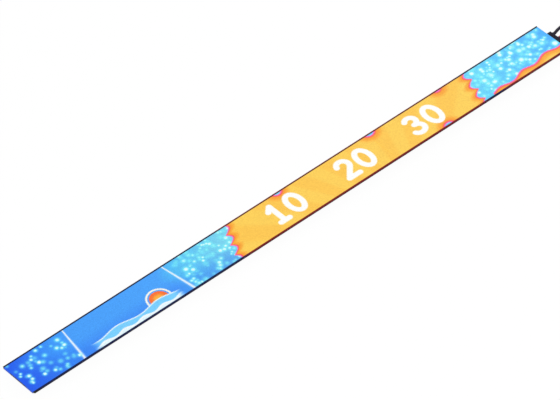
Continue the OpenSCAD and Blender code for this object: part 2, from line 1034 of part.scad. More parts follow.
// Crimped fork terminals on the far ends
sleeve_wall = 0.6;
sleeve_radius = wire_radius + sleeve_wall;
sleeve_length = 12;
sleeve_taper = 0.5;
fork_width = 7.2;
fork_slot = 3.7;
fork_length = 12;
fork_thick = 1;
tongue_width = 4;
tongue_length = 5;

// Puts a piece at the end of a route, with its own X axis along the last run
module at_end_of(route) {
    last = route[len(route) - 1];
    run = last - route[len(route) - 2];
    translate(last)
        rotate([0, 0, atan2(run[1], run[0])])
            children();
}

module sleeve(route) {
    at_end_of(route)
        rotate([0, 90, 0])
            rotate_extrude()
                polygon([
                    [0, 0], [wire_radius + sleeve_taper / 2, 0], [sleeve_radius, sleeve_taper],
                    [sleeve_radius, sleeve_length - sleeve_taper],
                    [sleeve_radius - sleeve_taper, sleeve_length], [0, sleeve_length]
                ]);
}

module sleeve_black() {
    color(black_jacket)
        sleeve(tail_route_black);
}

module sleeve_red() {
    color(red_jacket)
        sleeve(tail_route_red);
}

module fork_terminals() {
    color("#b8bbbe")
        for (route = [tail_route_black, tail_route_red])
            at_end_of(route)
                translate([sleeve_length, 0, -fork_thick / 2])
                    linear_extrude(fork_thick)
                        difference() {
                            union() {
                                translate([0, -tongue_width / 2])
                                    square([tongue_length + fork_width / 2, tongue_width]);
                                translate([tongue_length + fork_width / 2, 0])
                                    circle(r = fork_width / 2);
                                translate([tongue_length + fork_width / 2, -fork_width / 2])
                                    square([fork_length - tongue_length - fork_width / 2, fork_width]);
                            }
                            translate([tongue_length + fork_width / 2, 0])
                                circle(r = fork_slot / 2);
                            translate([tongue_length + fork_width / 2, -fork_slot / 2])
                                square([fork_length, fork_slot]);
                        }
}

// Strap round the coil, on the side away from the display
tie_width = 8;
tie_clear = 0.25;
tie_round = 1.6;
module coil_tie() {
    inner = coil_inner - wire_radius - tie_clear;
    outer = coil_radius(90, black_turn) + wire_radius + tie_clear;
    top = coil_base_z + turn_step + wire_radius + tie_thick;
    color("#2b2b2e")
        translate([coil_x, coil_y + tie_width / 2, 0])
            rotate([90, 0, 0])
                linear_extrude(tie_width)
                    difference() {
                        polygon(rounded_outline([
                            [inner - tie_thick, 0, tie_round], [outer + tie_thick, 0, tie_round],
                            [outer + tie_thick, top + tie_thick, tie_round],
                            [inner - tie_thick, top + tie_thick, tie_round]
                        ]));
                        polygon(rounded_outline([
                            [inner, tie_thick, tie_round - tie_thick],
                            [outer, tie_thick, tie_round - tie_thick],
                            [outer, top, tie_round - tie_thick], [inner, top, tie_round - tie_thick]
                        ]));
                    }
}

housing_channel();
end_cap_left();
end_cap_right();
end_cap_screws();
for (i = [0:len(part_names) - 1]) {
    resin_cover(i);
    pixel_layer(i);
    pixel_board(i);
    module_frame(i);
    driver_chips(i);
    module_header(i);
    header_pins(i);
    hub_board(i);
    hub_socket(i);
}
module_magnets();
keeper_strip_upper();
keeper_strip_lower();
board_link_left();
board_link_right();
hub_screws();
controller_chip();
wireless_module();
voltage_regulators();
capacitors();
inlet_socket();
inlet_contacts();
chain_socket();
chain_contacts();
socket_screws();
supply_plug();
plug_contacts();
wire_black();
coil_black();
tail_black();
sleeve_black();
wire_red();
coil_red();
tail_red();
sleeve_red();
fork_terminals();
coil_tie();
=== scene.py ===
"""Looks of the LED shelf edge display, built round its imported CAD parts.

Sizes are millimetres until MM scales them.
"""

import json
import math

import bmesh
import bpy
import numpy as np
from mathutils import Matrix, Vector


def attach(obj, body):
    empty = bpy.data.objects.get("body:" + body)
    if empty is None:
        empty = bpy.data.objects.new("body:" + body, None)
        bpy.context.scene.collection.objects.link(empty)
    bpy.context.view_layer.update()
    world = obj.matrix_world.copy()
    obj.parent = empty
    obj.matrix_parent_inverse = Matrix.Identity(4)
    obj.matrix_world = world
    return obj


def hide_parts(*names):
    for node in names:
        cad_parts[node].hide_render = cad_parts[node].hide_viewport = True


MM = 0.001
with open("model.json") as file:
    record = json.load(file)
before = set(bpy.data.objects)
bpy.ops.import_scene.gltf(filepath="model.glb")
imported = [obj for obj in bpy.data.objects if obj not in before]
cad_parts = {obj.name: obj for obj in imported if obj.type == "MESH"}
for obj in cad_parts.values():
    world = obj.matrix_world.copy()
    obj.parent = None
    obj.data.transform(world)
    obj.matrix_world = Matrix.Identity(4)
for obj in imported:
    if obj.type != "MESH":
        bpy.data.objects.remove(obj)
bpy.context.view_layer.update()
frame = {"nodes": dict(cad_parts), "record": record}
scene = bpy.context.scene
scene.view_settings.view_transform = "Standard"

# Sizes that the CAD source also has, in millimetres
FACE_Z = 14.0
RESIN_BASE_Z = 13.1
BOARD_TOP_Z = 12.4
BOARD_BASE_Z = 11.2
MODULE_PITCH = 300.0
MODULE_HALF = 149.9
MODULE_HALF_WIDTH = 28.65
RESIN_RIM = 0.12
SKIRT = 0.5
TAB_HALF_WIDTH = 14.5
DISPLAY_LENGTH = 900.0
LED_PITCH = 1.2
LED_COLUMNS = 250
LED_ROWS = 48
MODULES = ("left", "centre", "right")

WIRE_START_X = 459.0
WIRE_RADIUS = 2.2
WIRE_Z = 9.2
BLACK_Y = 6.8
RED_Y = -4.0
COIL_X = 513.0
COIL_Y = -24.0
COIL_BASE_Z = 2.6
COIL_INNER = 12.9
TURN_STEP = 4.9
COIL_END = 3.5 * 360
RED_TURN = 1.5 * 360
BLACK_TURN = 2 * 360
TURN_SOFTNESS = 18.0
RINGS_A_TURN = 24


# Camera

CAMERA_AZIMUTH = -38.909
CAMERA_ELEVATION = 44.242
CAMERA_ROLL = -3.219
CAMERA_DISTANCE = 6.0566
CAMERA_ACROSS = -0.01816
CAMERA_UP = 0.01332
CAMERA_LENS = 306.90


def add_camera():
    a, e, roll = (math.radians(v) for v in (CAMERA_AZIMUTH, CAMERA_ELEVATION, CAMERA_ROLL))
    right = Vector((math.cos(a), math.sin(a), 0))
    up = Vector((-math.sin(a) * math.sin(e), math.cos(a) * math.sin(e), math.cos(e)))
    back = Vector((math.sin(a) * math.cos(e), -math.cos(a) * math.cos(e), math.sin(e)))
    rolled_right = right * math.cos(roll) + up * math.sin(roll)
    rolled_up = up * math.cos(roll) - right * math.sin(roll)
    data = bpy.data.cameras.new("camera")
    data.sensor_fit = "HORIZONTAL"
    data.sensor_width = 36
    data.lens = CAMERA_LENS
    data.clip_start, data.clip_end = 0.1, 60
    camera = bpy.data.objects.new("camera", data)
    turn = Matrix((rolled_right, rolled_up, back)).transposed().to_4x4()
    turn.translation = back * CAMERA_DISTANCE + rolled_right * CAMERA_ACROSS + rolled_up * CAMERA_UP
    camera.matrix_world = turn
    scene.collection.objects.link(camera)
    scene.camera = camera


add_camera()


# Materials

class Finish:
    """A material under construction, with short calls for its nodes."""

    def __init__(self, name, roughness=0.5, metallic=0.0, specular=0.5, coat=0.0):
        self.material = bpy.data.materials.new(name)
        self.material.use_nodes = True
        self.tree = self.material.node_tree
        self.shader = self.tree.nodes["Principled BSDF"]
        self.set(self.shader, "Roughness", roughness)
        self.set(self.shader, "Metallic", metallic)
        self.set(self.shader, "Specular IOR Level", specular)
        self.set(self.shader, "Coat Weight", coat)

    def set(self, node, socket, value):
        if isinstance(value, bpy.types.NodeSocket):
            self.tree.links.new(value, node.inputs[socket])
        elif isinstance(value, tuple) and len(value) == 3 and node.inputs[socket].type == "RGBA":
            node.inputs[socket].default_value = (*value, 1)
        else:
            node.inputs[socket].default_value = value

    def node(self, kind, inputs=None, **settings):
        made = self.tree.nodes.new(kind)
        for key, value in settings.items():
            setattr(made, key, value)
        for socket, value in (inputs or {}).items():
            self.set(made, socket, value)
        return made

    def place(self, scale=(1, 1, 1), turn=(0, 0, 0)):
        """Object coordinates, scaled and turned."""
        where = self.node("ShaderNodeTexCoord").outputs["Object"]
        inputs = {"Vector": where, "Scale": scale, "Rotation": turn}
        return self.node("ShaderNodeMapping", inputs).outputs["Vector"]

    def noise(self, scale, detail=3.0, stretch=(1, 1, 1)):
        inputs = {"Vector": self.place(stretch), "Scale": scale, "Detail": detail, "Roughness": 0.55}
        return self.node("ShaderNodeTexNoise", inputs).outputs["Fac"]

    def cells(self, scale):
        return self.node("ShaderNodeTexVoronoi", {"Vector": self.place(), "Scale": scale}).outputs["Distance"]

    def between(self, factor, low, high, start=0.3, end=0.7):
        """A number or colour from low to high as factor goes from start to end."""
        if isinstance(low, tuple):
            share = self.between(factor, 0.0, 1.0, start, end)
            made = self.node("ShaderNodeMix", {0: share, 6: (*low, 1), 7: (*high, 1)}, data_type="RGBA")
            return made.outputs[2]
        inputs = {"Value": factor, "From Min": start, "From Max": end, "To Min": low, "To Max": high}
        return self.node("ShaderNodeMapRange", inputs).outputs["Result"]

    def maths(self, operation, a, b=0.0):
        return self.node("ShaderNodeMath", {0: a, 1: b}, operation=operation).outputs[0]

    def colour(self, value):
        self.set(self.shader, "Base Color", value)

    def rough(self, value):
        self.set(self.shader, "Roughness", value)

    def bump(self, height, strength, distance_mm):
        inputs = {"Height": height, "Strength": strength, "Distance": distance_mm * MM}
        self.set(self.shader, "Normal", self.node("ShaderNodeBump", inputs).outputs["Normal"])


def moulded(name, dark, light, roughness=0.5, grain=1400, depth_mm=0.02, specular=0.5):
    """Moulded plastic: a fine even grain, and faint clouds in its colour and gloss."""
    f = Finish(name, roughness, specular=specular)
    clouds = f.noise(38)
    f.colour(f.between(clouds, dark, light))
    f.rough(f.between(clouds, roughness - 0.06, roughness + 0.06))
    f.bump(f.noise(grain, 2), 0.35, depth_mm)
    return f


def metal(name, dark, light, roughness, stretch=(1, 1, 1), grain=900, depth_mm=0.01):
    """Plain or plated metal, with grain along its length."""
    f = Finish(name, roughness, metallic=1.0)
    streaks = f.noise(grain, 3, stretch)
    f.colour(f.between(f.noise(60), dark, light))
    f.rough(f.between(streaks, roughness - 0.07, roughness + 0.09))
    f.bump(streaks, 0.25, depth_mm)
    return f


def solder_mask(name, dark, light, trace):
    """A circuit board: glossy mask over faint raised tracks, with a woven ground."""
    f = Finish(name, 0.32)
    brick = f.node(
        "ShaderNodeTexBrick",
        {
            "Vector": f.place(), "Scale": 160.0, "Mortar Size": 0.035,
            "Color1": (0.0, 0.0, 0.0), "Color2": (0.0, 0.0, 0.0), "Mortar": (1.0, 1.0, 1.0),
        },
    ).outputs["Color"]
    tracks = f.between(brick, 0.0, 1.0, 0.4, 0.6)
    ground = f.between(f.noise(70), dark, light)
    f.colour(f.node("ShaderNodeMix", {0: tracks, 6: ground, 7: (*trace, 1)}, data_type="RGBA").outputs[2])
    f.bump(f.maths("ADD", tracks, f.maths("MULTIPLY", f.noise(1500, 1), 0.2)), 0.4, 0.03)
    return f


# Where the picture's warm part starts and stops beside the lips, in millimetres from the display's middle.
# Beside the near lip it starts again with the warm swell.
WARM_STARTS = (-112, -96)
WARM_STOPS = (294, 312)
WARM_SWELL_STARTS = (332, 352)
SPILL_HEIGHTS = (10.6, 13.6)
SPILL_WARM = (0.19, 0.004, 0.006)
SPILL_COOL = (0.002, 0.006, 0.066)


def led_spill(f):
    """Painted LED light on the lips and upright sides, as an emission: red beside the sunny band, blue
    elsewhere.
    """
    where = f.node("ShaderNodeSeparateXYZ", {0: f.place((1 / MM,) * 3)}).outputs
    starts = f.between(where["X"], 0.0, 1.0, *WARM_STARTS)
    stops = f.between(where["X"], 1.0, 0.0, *WARM_STOPS)
    again = f.between(where["X"], 0.0, 1.0, *WARM_SWELL_STARTS)
    near_side = f.between(where["Y"], 1.0, 0.0, -1.0, 1.0)
    warm = f.maths("MAXIMUM", f.maths("MULTIPLY", starts, stops), f.maths("MULTIPLY", near_side, again))
    tint = f.between(warm, SPILL_COOL, SPILL_WARM, 0.0, 1.0)
    level = f.between(where["Z"], 0.0, 1.0, *SPILL_HEIGHTS)
    spill = f.node("ShaderNodeVectorMath", {0: tint, "Scale": level}, operation="SCALE").outputs["Vector"]
    f.set(f.shader, "Emission Color", spill)
    f.set(f.shader, "Emission Strength", 1.0)


def anodised_aluminium():
    """Black anodised extrusion: fine die lines along its length, wear that lifts the colour a little, and
    painted LED light on its lips and sides.
    """
    f = Finish("black_anodised", 0.45, specular=0.06)
    lines = f.noise(700, 3, (0.012, 1, 1))
    clouds = f.noise(26)
    f.colour(f.between(clouds, (0.0024, 0.0024, 0.0032), (0.0052, 0.0050, 0.0068)))
    f.rough(f.between(lines, 0.36, 0.52))
    f.bump(lines, 0.3, 0.02)
    # painted LED light on the lips and upright sides
    led_spill(f)
    return f


# Painted shade of the far lip over the last of the LEDs, seen through the resin, between these two places
# across the display
RIM_FADE = (27.4, 27.6)


def led_picture(name, glow, base, roughness, tab_share=1.0):
    """Lit LEDs under clear resin. The picture comes from the piece's own colour attribute, one value
    an LED, and each LED is a soft square with a dimmer gap round it. In front of a board's tab the
    glow drops to a share of the rest."""
    f = Finish(name, roughness, specular=0.12)
    picture = f.node("ShaderNodeAttribute", attribute_name="picture").outputs["Color"]
    where = f.node("ShaderNodeSeparateXYZ", {0: f.place((1 / (LED_PITCH * MM),) * 3)})
    gaps = []
    for axis in ("X", "Y"):
        inside = f.maths("ABSOLUTE", f.maths("SUBTRACT", f.maths("FRACT", where.outputs[axis]), 0.5))
        gaps.append(f.between(inside, 1.0, 0.0, 0.34, 0.5))
    level = f.between(f.maths("MULTIPLY", *gaps), glow * 0.74, glow * 1.1, 0.0, 1.0)
    # painted shade of the far lip: the glow fades over the last LED rows
    rim = f.between(where.outputs["Y"], 1.0, 0.0, *(edge / LED_PITCH for edge in RIM_FADE))
    tab = (TAB_HALF_WIDTH / LED_PITCH, (TAB_HALF_WIDTH + 2) / LED_PITCH)
    beside_tab = f.between(f.maths("ABSOLUTE", where.outputs["Y"]), tab_share, 1.0, *tab)
    level = f.maths("MULTIPLY", level, f.maths("MULTIPLY", rim, beside_tab))
    lit = f.node("ShaderNodeVectorMath", {0: picture, "Scale": level}, operation="SCALE").outputs["Vector"]
    f.set(f.shader, "Emission Color", lit)
    f.set(f.shader, "Emission Strength", 1.0)
    f.colour(f.between(f.noise(300, 2), base, tuple(v * 1.3 for v in base)))
    f.bump(f.noise(55, 2), 0.05, 0.05)
    return f


def wire_jacket(name, dark, light, roughness):
    """Soft wire insulation, with faint waves in its gloss."""
    f = Finish(name, roughness, specular=0.22)
    f.colour(f.between(f.noise(45), dark, light))
    f.rough(f.between(f.noise(130, 2), roughness - 0.07, roughness + 0.08))
    f.bump(f.noise(420, 2), 0.2, 0.03)
    return f


def woven_strap():
    """Hook and loop fabric: a field of tiny loops over a weave."""
    f = Finish("tie_fabric", 0.92, specular=0.2)
    loops = f.cells(2600)
    f.colour(f.between(loops, (0.010, 0.010, 0.012), (0.045, 0.045, 0.05), 0.1, 0.8))
    f.bump(loops, 0.9, 0.2)
    f.set(f.shader, "Sheen Weight", 0.35)
    return f


finishes = {
    "black_anodised": anodised_aluminium(),
    "cap_plastic": moulded("cap_plastic", (0.005, 0.005, 0.006), (0.011, 0.011, 0.012), 0.55, specular=0.12),
    "black_steel": metal("black_steel", (0.05, 0.05, 0.055), (0.09, 0.09, 0.1), 0.42),
    "zinc_steel": metal("zinc_steel", (0.50, 0.51, 0.53), (0.66, 0.67, 0.68), 0.34, (0.1, 1, 1)),
    "magnet_nickel": metal("magnet_nickel", (0.60, 0.60, 0.61), (0.74, 0.74, 0.75), 0.18),
    "lit_resin": led_picture("lit_resin", 1.0, (0.003, 0.003, 0.0035), 0.34),
    "pixel_mask": moulded("pixel_mask", (0.010, 0.010, 0.012), (0.03, 0.03, 0.033), 0.6, 2200, 0.05),
    "board_black": solder_mask("board_black", (0.004, 0.005, 0.006), (0.008, 0.01, 0.01), (0.02, 0.02, 0.03)),
    "board_green": solder_mask("board_green", (0.008, 0.075, 0.035), (0.014, 0.11, 0.052), (0.05, 0.22, 0.1)),
    "frame_plastic": moulded("frame_plastic", (0.022, 0.023, 0.025), (0.034, 0.035, 0.038), 0.6, 900, 0.03),
    "chip_epoxy": moulded("chip_epoxy", (0.014, 0.014, 0.015), (0.024, 0.024, 0.026), 0.5, 1800),
    "ivory_nylon": moulded("ivory_nylon", (0.68, 0.63, 0.52), (0.76, 0.71, 0.60), 0.45, 1200),
    "socket_nylon": moulded("socket_nylon", (0.013, 0.013, 0.015), (0.022, 0.022, 0.025), 0.42, 1200),
    "gold_contact": metal("gold_contact", (0.72, 0.50, 0.18), (0.84, 0.62, 0.26), 0.24),
    "tin_plate": metal("tin_plate", (0.40, 0.40, 0.41), (0.54, 0.54, 0.55), 0.34),
    "plug_rubber": moulded("plug_rubber", (0.008, 0.006, 0.016), (0.015, 0.012, 0.027), 0.5, 1300, 0.03, 0.1),
    "black_pvc": wire_jacket("black_pvc", (0.008, 0.006, 0.016), (0.015, 0.012, 0.027), 0.42),
    "red_pvc": wire_jacket("red_pvc", (0.26, 0.010, 0.012), (0.38, 0.018, 0.020), 0.4),
    "black_sleeve": wire_jacket("black_sleeve", (0.012, 0.012, 0.013), (0.02, 0.02, 0.022), 0.26),
    "red_sleeve": wire_jacket("red_sleeve", (0.42, 0.012, 0.014), (0.52, 0.02, 0.02), 0.24),
    "tie_fabric": woven_strap(),
}
# Painted LED light on the resin's sides and end skirts: the picture glows there at two thirds, and at a third
# of that in front of a board's tab
resin_edge = led_picture("resin_edge", 0.66, (0.012, 0.016, 0.022), 0.3, 0.3)


# Meshes

def new_piece(name, mesh, slot, *nodes):
    """Adds a finished mesh as a piece that stands for the CAD nodes."""
    piece = bpy.data.objects.new(name, mesh)
    scene.collection.objects.link(piece)
    if not mesh.materials:
        mesh.materials.append(finishes[slot].material)
    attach(piece, "root")
    if nodes:
        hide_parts(*nodes)
    return piece


def smooth_sides(mesh, degrees=35):
    for polygon in mesh.polygons:
        polygon.use_smooth = True
    mesh.set_sharp_from_angle(angle=math.radians(degrees))


def mesh_of(name, vertices, faces):
    mesh = bpy.data.meshes.new(name)
    mesh.from_pydata([tuple(v) for v in vertices], [], faces)
    mesh.update()
    return mesh


class NodeTree:
    """A Geometry Nodes tree, built node by node, whose result is taken as a plain mesh."""

    def __init__(self, name):
        self.tree = bpy.data.node_groups.new(name, "GeometryNodeTree")
        self.tree.interface.new_socket("Geometry", in_out="INPUT", socket_type="NodeSocketGeometry")
        self.tree.interface.new_socket("Geometry", in_out="OUTPUT", socket_type="NodeSocketGeometry")
        self.start = self.tree.nodes.new("NodeGroupInput")
        self.values = {}

    def input(self, name, value):
        """A named input of the tree, and the value that this piece gives it."""
        kinds = {float: "Float", int: "Int"}
        kind = "NodeSocket" + kinds.get(type(value), type(value).__name__)
        socket = self.tree.interface.new_socket(name, in_out="INPUT", socket_type=kind)
        self.values[socket.identifier] = value
        return self.start.outputs[name]

    def node(self, kind, inputs=None, **settings):
        made = self.tree.nodes.new(kind)
        for key, value in settings.items():
            setattr(made, key, value)
        for socket, value in (inputs or {}).items():
            if isinstance(value, bpy.types.NodeSocket):
                self.tree.links.new(value, made.inputs[socket])
            else:
                made.inputs[socket].default_value = value
        return made

    def maths(self, operation, a, b):
        return self.node("ShaderNodeMath", {0: a, 1: b}, operation=operation).outputs[0]

    def vector(self, operation, a, b):
        return self.node("ShaderNodeVectorMath", {0: a, 1: b}, operation=operation).outputs[0]

    def result(self, geometry, material, name, source=None):
        """Ends the tree in Realize Instances and Set Material, and returns what it makes as a plain mesh."""
        whole = self.node("GeometryNodeRealizeInstances", {"Geometry": geometry}).outputs[0]
        inputs = {"Geometry": whole, "Material": self.input("Material", material)}
        painted = self.node("GeometryNodeSetMaterial", inputs)
        end = self.tree.nodes.new("NodeGroupOutput")
        self.tree.links.new(painted.outputs[0], end.inputs[0])
        carrier = bpy.data.objects.new(name + "_carrier", source or bpy.data.meshes.new(name + "_carrier"))
        scene.collection.objects.link(carrier)
        modifier = carrier.modifiers.new("make", "NODES")
        modifier.node_group = self.tree
        for identifier, value in self.values.items():
            modifier[identifier] = value
        depsgraph = bpy.context.evaluated_depsgraph_get()
        mesh = bpy.data.meshes.new_from_object(carrier.evaluated_get(depsgraph))
        mesh.name = name
        bpy.data.objects.remove(carrier)
        return mesh


# Lit face

def led_grid(name, centre_x, material):
    """One quad an LED, on exact pitch lines, drawn in to the resin's edge at the ends and long sides."""
    tree = NodeTree("led_grid_" + name)
    pitch = tree.input("Pitch", LED_PITCH * MM)
    columns = tree.input("Columns", LED_COLUMNS)
    rows = tree.input("Rows", LED_ROWS)
    limit = tree.input("Half Size", Vector((MODULE_HALF * MM, MODULE_HALF_WIDTH * MM, 1.0)))
    centre = tree.input("Centre", Vector((centre_x * MM, 0.0, FACE_Z * MM)))
    grid = tree.node(
        "GeometryNodeMeshGrid",
        {
            "Size X": tree.maths("MULTIPLY", pitch, columns),
            "Size Y": tree.maths("MULTIPLY", pitch, rows),
            "Vertices X": tree.maths("ADD", columns, 1.0),
            "Vertices Y": tree.maths("ADD", rows, 1.0),
        },
    ).outputs["Mesh"]
    at = tree.node("GeometryNodeInputPosition").outputs[0]
    at = tree.vector("MINIMUM", at, limit)
    at = tree.vector("MAXIMUM", at, tree.vector("MULTIPLY", limit, (-1.0, -1.0, -1.0)))
    at = tree.vector("ADD", at, centre)
    placed = tree.node("GeometryNodeSetPosition", {"Geometry": grid, "Position": at})
    return tree.result(placed.outputs[0], material, name)


def resin_shell(mesh):
    """Gives the grid its rounded rim, its sides and its underside, so the resin is a closed slab."""
    rim = RESIN_RIM * MM
    drop = (FACE_Z - RESIN_BASE_Z) * MM
    body = bmesh.new()
    body.from_mesh(mesh)
    middle_x = sum(v.co.x for v in body.verts) / len(body.verts)

    def outline(edges):
        made = bmesh.ops.extrude_edge_only(body, edges=edges)["geom"]
        return [[g for g in made if isinstance(g, kind)] for kind in (bmesh.types.BMEdge, bmesh.types.BMVert)]

    outer = [e for e in body.edges if e.is_boundary]
    top_ring = {v for e in outer for v in e.verts}
    edges, ring = outline(outer)
    for v in ring:
        v.co.z -= rim
    for v in top_ring:
        if abs(abs(v.co.y) - MODULE_HALF_WIDTH * MM) < 1e-6:
            v.co.y -= math.copysign(rim, v.co.y)
        if abs(abs(v.co.x - middle_x) - MODULE_HALF * MM) < 1e-6:
            v.co.x -= math.copysign(rim, v.co.x - middle_x)
    edges, ring = outline([e for e in edges if e.is_boundary])
    for v in ring:
        v.co.z -= drop - rim
    bmesh.ops.contextual_create(body, geom=[e for e in edges if e.is_boundary])
    bmesh.ops.recalc_face_normals(body, faces=body.faces)
    for face in body.faces:
        at_end = abs(face.calc_center_median().x) > (DISPLAY_LENGTH / 2 - 1) * MM
        outside = at_end or abs(face.normal.y) > 0.5
        face.material_index = 1 if outside and face.normal.z < 0.99 else 0
    for side in (-1, 1):
        for low_y, high_y, low_z in (
            (-MODULE_HALF_WIDTH, -TAB_HALF_WIDTH, BOARD_BASE_Z),
            (-TAB_HALF_WIDTH, TAB_HALF_WIDTH, BOARD_TOP_Z),
            (TAB_HALF_WIDTH, MODULE_HALF_WIDTH, BOARD_BASE_Z),
        ):
            made = bmesh.ops.create_cube(body, size=1.0)["verts"]
            for v in made:
                out = MODULE_HALF if v.co.x * side > 0 else MODULE_HALF - SKIRT
                v.co.x = middle_x + side * out * MM
                v.co.y = (high_y if v.co.y > 0 else low_y) * MM
                v.co.z = (RESIN_BASE_Z if v.co.z > 0 else low_z) * MM
            for face in {f for v in made for f in v.link_faces}:
                face.material_index = 1
            bmesh.ops.recalc_face_normals(body, faces=list({f for v in made for f in v.link_faces}))
    body.to_mesh(mesh)
    body.free()
    mesh.update()


# Picture on the face: s runs from the left end and t up from the middle line, in millimetres

def screen(*rgb):
    return np.array(rgb, float)


def step_between(low, high, x):
    u = np.clip((x - low) / (high - low), 0, 1)
    return u * u * (3 - 2 * u)


def paint(picture, colour, share):
    return picture + (colour - picture) * share[..., None]


NUMERALS = {
    "0": [[(0.5 + 0.5 * math.cos(a), 0.5 + 0.5 * math.sin(a)) for a in np.linspace(0, 2 * math.pi, 25)]],
    "1": [[(0.12, 0.76), (0.52, 1.0), (0.52, 0.0)], [(0.16, 0.0), (0.9, 0.0)]],
    "2": [
        [(0.5 + 0.46 * math.cos(a), 0.72 + 0.28 * math.sin(a)) for a in np.linspace(2.9, -0.65, 12)]
        + [(0.04, 0.0), (0.98, 0.0)]
    ],
    "3": [
        [(0.46 + 0.42 * math.cos(a), 0.76 + 0.24 * math.sin(a)) for a in np.linspace(2.6, -1.57, 12)],
        [(0.46 + 0.48 * math.cos(a), 0.26 + 0.26 * math.sin(a)) for a in np.linspace(1.57, -2.7, 14)],
    ],
}
NUMERAL_HEIGHT = 32.0
NUMERAL_WIDTH = 19.0
NUMERAL_STROKE = 3.9
NUMERAL_STEP = 30.0


def numeral_share(s, t, text, left):
    """How far each LED is covered by plain numerals that start at left."""
    nearest = np.full(s.shape, 1e9)
    for place, figure in enumerate(text):
        for line in NUMERALS[figure]:
            points = np.array(line) * (NUMERAL_WIDTH, NUMERAL_HEIGHT)
            points += (left + place * NUMERAL_STEP, -NUMERAL_HEIGHT / 2)
            for (ax, ay), (bx, by) in zip(points[:-1], points[1:]):
                dx, dy = bx - ax, by - ay
                run = np.clip(((s - ax) * dx + (t - ay) * dy) / (dx ** 2 + dy ** 2), 0, 1)
                nearest = np.minimum(nearest, np.hypot(s - ax - run * dx, t - ay - run * dy))
    return 1 - step_between(NUMERAL_STROKE - 0.7, NUMERAL_STROKE + 0.9, nearest)


def bubbles(s, t, seed, low, high, count, least, most):
    """Soft round lights scattered between low and high, as a share of white light at each LED."""
    draw = np.random.default_rng(seed)
    light = np.zeros(s.shape)
    for _ in range(count):
        x, y = draw.uniform(low, high), draw.uniform(-28, 28)
        radius, level = draw.uniform(least, most), draw.uniform(0.35, 1.0)
        near = np.hypot(s - x, t - y) / radius
        light = np.maximum(light, level * np.exp(-near ** 2.4))
    return light


# Blue ground: places along the face, and the screen colour at each
GROUND_STOPS = (0, 70, 100, 240, 262, 345, 760, 900)
GROUND_BLUES = (
    (34, 92, 238), (60, 152, 251), (70, 158, 250), (72, 162, 251),
    (80, 188, 246), (120, 210, 238), (100, 208, 248), (74, 176, 254),
)
# White dividers: place along the face at its middle line, and lean
DIVIDERS = ((88, 0.16), (257, -0.13))
SUN_CENTRE = (216, -13)
# Where the swells fade in and out, and for each its level, height, length, phase, water and crest thickness
SWELL_ENDS = (100, 116, 234, 248)
SWELLS = (
    (-14.5, 2.6, 67, 0.4, (120, 206, 255), 0.8),
    (-24.0, 1.8, 31, 2.4, (226, 246, 255), 1.1),
)
# Bubbles: seed, where they start and stop, how many, and the smallest and largest radius
BUBBLE_FIELDS = (
    (3, 4, 82, 46, 1.8, 4.0), (11, 264, 372, 120, 1.8, 4.4),
    (23, 742, 898, 190, 1.8, 4.6), (31, 745, 898, 34, 4.0, 6.5),
)
# Round notches in the sunny band's long edges: place, and radius
NOTCHES = ((446, 32, 9), (604, 34, 11), (690, -34, 10), (722, 33, 8))
# Plain numbers, and where each starts
NUMBERS = (("10", 412), ("20", 530), ("30", 648))


def blue_ground(s, t):
    swayed = s + 5 * np.sin(t / 7)
    blues = np.array(GROUND_BLUES, float)
    picture = np.stack([np.interp(swayed, GROUND_STOPS, blues[:, k]) for k in range(3)], -1)
    return paint(picture, screen(38, 92, 234), 0.35 * step_between(6, -28, t) * (s < 345))


def sun_and_swells(picture, s, t):
    """A low sun behind a swell, with a white breaker under it."""
    x, y = SUN_CENTRE
    away = np.hypot(s - x, t - y)
    ring = step_between(14.6, 15.8, away) * (1 - step_between(17.2, 18.4, away))
    picture = paint(picture, screen(255, 250, 235), ring)
    picture = paint(picture, screen(250, 112, 48), 1 - step_between(12.6, 13.6, away))
    picture = paint(picture, screen(255, 176, 60), 1 - step_between(4, 11, away))
    low, full, fading, gone = SWELL_ENDS
    share = step_between(low, full, s) * (1 - step_between(fading, gone, s))
    for level, height, length, phase, water, thick in SWELLS:
        crest = level + height * np.sin(2 * math.pi * s / length + phase)
        picture = paint(picture, screen(*water), share * step_between(0.6, -0.6, t - crest))
        white = np.exp(-((t - crest + thick) / thick) ** 2)
        picture = paint(picture, screen(250, 253, 255), share * white)
    return picture


def dividers_and_bubbles(picture, s, t):
    for x, lean in DIVIDERS:
        picture = paint(picture, screen(245, 250, 255), np.exp(-((s - x - lean * t) / (1.5 - 0.02 * t)) ** 2))
    lights = np.zeros(s.shape)
    for field in BUBBLE_FIELDS:
        lights = np.maximum(lights, bubbles(s, t, *field))
    picture = paint(picture, screen(126, 246, 251), np.clip(lights * 1.3, 0, 1))
    return paint(picture, screen(250, 255, 255), step_between(0.5, 0.95, lights) * 0.85)


def sunny_band(picture, s, t):
    """A yellow band with faint rays and a scalloped pink rim, which a swell carries on to the right end."""
    start = 344 + 0.42 * t + 8 * np.abs(np.sin(math.pi * t / 17 + 0.5))
    stop = 764 + 0.30 * t - 9 * np.abs(np.sin(math.pi * t / 19 + 1.0))
    inside = np.minimum(s - start, stop - s)
    swell = 9.5 * step_between(770, 900, s) - 27 + 2.6 * np.sin(2 * math.pi * s / 43)
    inside = np.maximum(inside, np.where(s > 770, swell - t, -99))
    for x, y, reach in NOTCHES:
        inside = np.minimum(inside, np.hypot(s - x, t - y) - reach)
    picture = paint(picture, screen(255, 100, 205), step_between(-2.7, -1.8, inside))
    picture = paint(picture, screen(246, 104, 80), step_between(-1.6, 0.2, inside))
    turn = np.arctan2(t + 150, s - 560)
    rays = 0.5 + 0.5 * np.sin(turn * 26)
    warm = np.full(picture.shape, 0.0) + screen(252, 206, 84)
    warm = paint(warm, screen(250, 180, 60), step_between(0.25, 0.75, rays) * 0.3)
    warm = paint(warm, screen(247, 150, 38), step_between(12, 2, inside) * 0.8)
    return paint(picture, warm, step_between(0.2, 2.4, inside))


